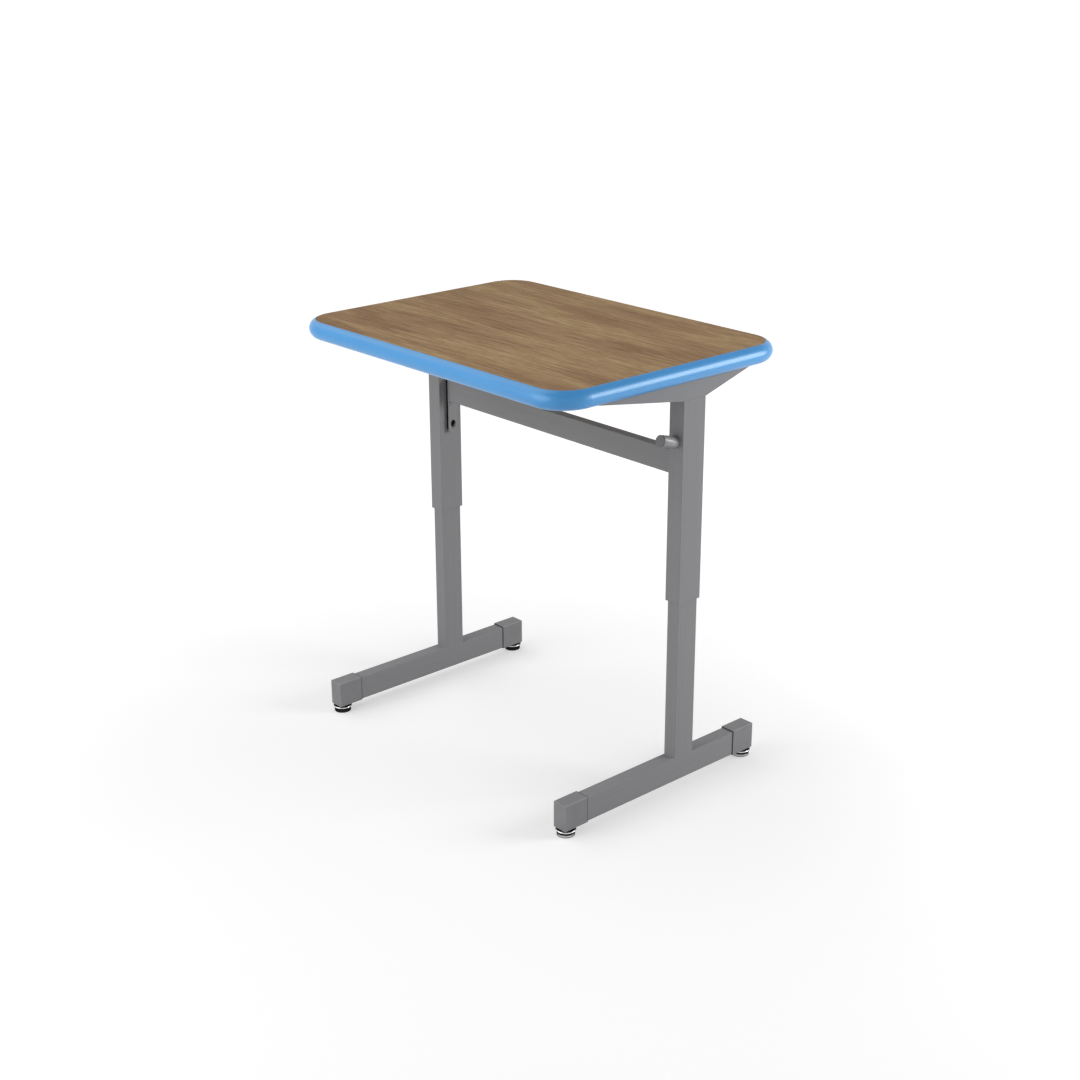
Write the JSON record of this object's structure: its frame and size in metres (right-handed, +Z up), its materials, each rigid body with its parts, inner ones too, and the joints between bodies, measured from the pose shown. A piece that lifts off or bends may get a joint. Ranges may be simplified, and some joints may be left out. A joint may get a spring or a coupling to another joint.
{
  "type": "student desk",
  "caption": "Height-adjustable student desk: wood-grain top with a round blue edge on telescopic T-legs, with a crossbar, a bag peg and levelling glides.",
  "frame": {"origin": "on the floor, under the middle of the top", "axes": "+Z up, +X to the sitter's right, +Y away from the sitter"},
  "size_m": [0.696, 0.517, 0.768],
  "materials": {
    "laminate": "wood-grain laminate, satin",
    "board": "raw particle board",
    "backer": "plain matt sheet",
    "edge": "smooth satin blue",
    "frame": "satin powder coat, mid grey",
    "cap": "satin moulded plastic",
    "fastener": "zinc plated",
    "black_steel": "black",
    "nylon": "moulded nylon",
    "chrome": "bright plated",
    "rubber": "matt"
  },
  "bodies": {
    "right_foot": {"lower_leg_right": "frame", "leg_guide_right": "nylon", "foot_tube_right": "frame", "foot_cap_right_front": "cap", "foot_cap_right_rear": "cap", "foot_seal_right_front": "rubber", "foot_seal_right_rear": "rubber", "glide_nuts_right": "fastener"},
    "upper_frame": {"top_core": "board", "top_laminate": "laminate", "top_backer": "backer", "edge_band": "edge", "top_screws": "fastener", "crossbar": "frame", "bracket_screws": "black_steel", "bag_peg": "frame", "bag_peg_plug": "cap", "support_arm_left": "frame", "upper_leg_left": "frame", "leg_sleeve_left": "nylon", "lock_bolts_left": "fastener", "lock_washers_left": "fastener", "nut_bar_left": "fastener", "crossbar_plate_left": "frame", "bracket_block_left": "black_steel", "support_arm_right": "frame", "upper_leg_right": "frame", "leg_sleeve_right": "nylon", "lock_bolts_right": "fastener", "lock_washers_right": "fastener", "nut_bar_right": "fastener", "crossbar_plate_right": "frame", "bracket_block_right": "black_steel"},
    "left_foot": {"lower_leg_left": "frame", "leg_guide_left": "nylon", "foot_tube_left": "frame", "foot_cap_left_front": "cap", "foot_cap_left_rear": "cap", "foot_seal_left_front": "rubber", "foot_seal_left_rear": "rubber", "glide_nuts_left": "fastener"},
    "glide_left_front": {"glide_stem_left_front": "fastener", "glide_hood_left_front": "chrome"},
    "glide_sole_left_front": {"glide_cushion_left_front": "rubber", "glide_base_left_front": "chrome"},
    "glide_left_rear": {"glide_stem_left_rear": "fastener", "glide_hood_left_rear": "chrome"},
    "glide_sole_left_rear": {"glide_cushion_left_rear": "rubber", "glide_base_left_rear": "chrome"},
    "glide_right_front": {"glide_stem_right_front": "fastener", "glide_hood_right_front": "chrome"},
    "glide_sole_right_front": {"glide_cushion_right_front": "rubber", "glide_base_right_front": "chrome"},
    "glide_right_rear": {"glide_stem_right_rear": "fastener", "glide_hood_right_rear": "chrome"},
    "glide_sole_right_rear": {"glide_cushion_right_rear": "rubber", "glide_base_right_rear": "chrome"}
  },
  "joints": [
    {"name": "height_slide", "type": "slide", "parent": "right_foot", "child": "upper_frame", "axis": [0, 0, 1], "range_m": [-0.2032, 0.0508]},
    {"name": "left_leg_slide", "type": "slide", "parent": "upper_frame", "child": "left_foot", "axis": [0, 0, -1], "range_m": [-0.2032, 0.0508]},
    {"name": "level_left_front", "type": "slide", "parent": "left_foot", "child": "glide_left_front", "axis": [0, 0, -1], "range_m": [0, 0.012]},
    {"name": "tilt_left_front", "type": "hinge", "parent": "glide_left_front", "child": "glide_sole_left_front", "pos_m": [-0.316, -0.2162, 0.0066], "axis": [1, 0, 0], "range_deg": [-3, 3], "stiffness_Nm_per_rad": 4},
    {"name": "level_left_rear", "type": "slide", "parent": "left_foot", "child": "glide_left_rear", "axis": [0, 0, -1], "range_m": [0, 0.012]},
    {"name": "tilt_left_rear", "type": "hinge", "parent": "glide_left_rear", "child": "glide_sole_left_rear", "pos_m": [-0.316, 0.214, 0.0066], "axis": [1, 0, 0], "range_deg": [-3, 3], "stiffness_Nm_per_rad": 4},
    {"name": "level_right_front", "type": "slide", "parent": "right_foot", "child": "glide_right_front", "axis": [0, 0, -1], "range_m": [0, 0.012]},
    {"name": "tilt_right_front", "type": "hinge", "parent": "glide_right_front", "child": "glide_sole_right_front", "pos_m": [0.316, -0.2162, 0.0066], "axis": [1, 0, 0], "range_deg": [-3, 3], "stiffness_Nm_per_rad": 4},
    {"name": "level_right_rear", "type": "slide", "parent": "right_foot", "child": "glide_right_rear", "axis": [0, 0, -1], "range_m": [0, 0.012]},
    {"name": "tilt_right_rear", "type": "hinge", "parent": "glide_right_rear", "child": "glide_sole_right_rear", "pos_m": [0.316, 0.214, 0.0066], "axis": [1, 0, 0], "range_deg": [-3, 3], "stiffness_Nm_per_rad": 4}
  ],
  "couplings": [
    {"joint": "left_leg_slide", "follows": "height_slide", "ratio": 1}
  ]
}
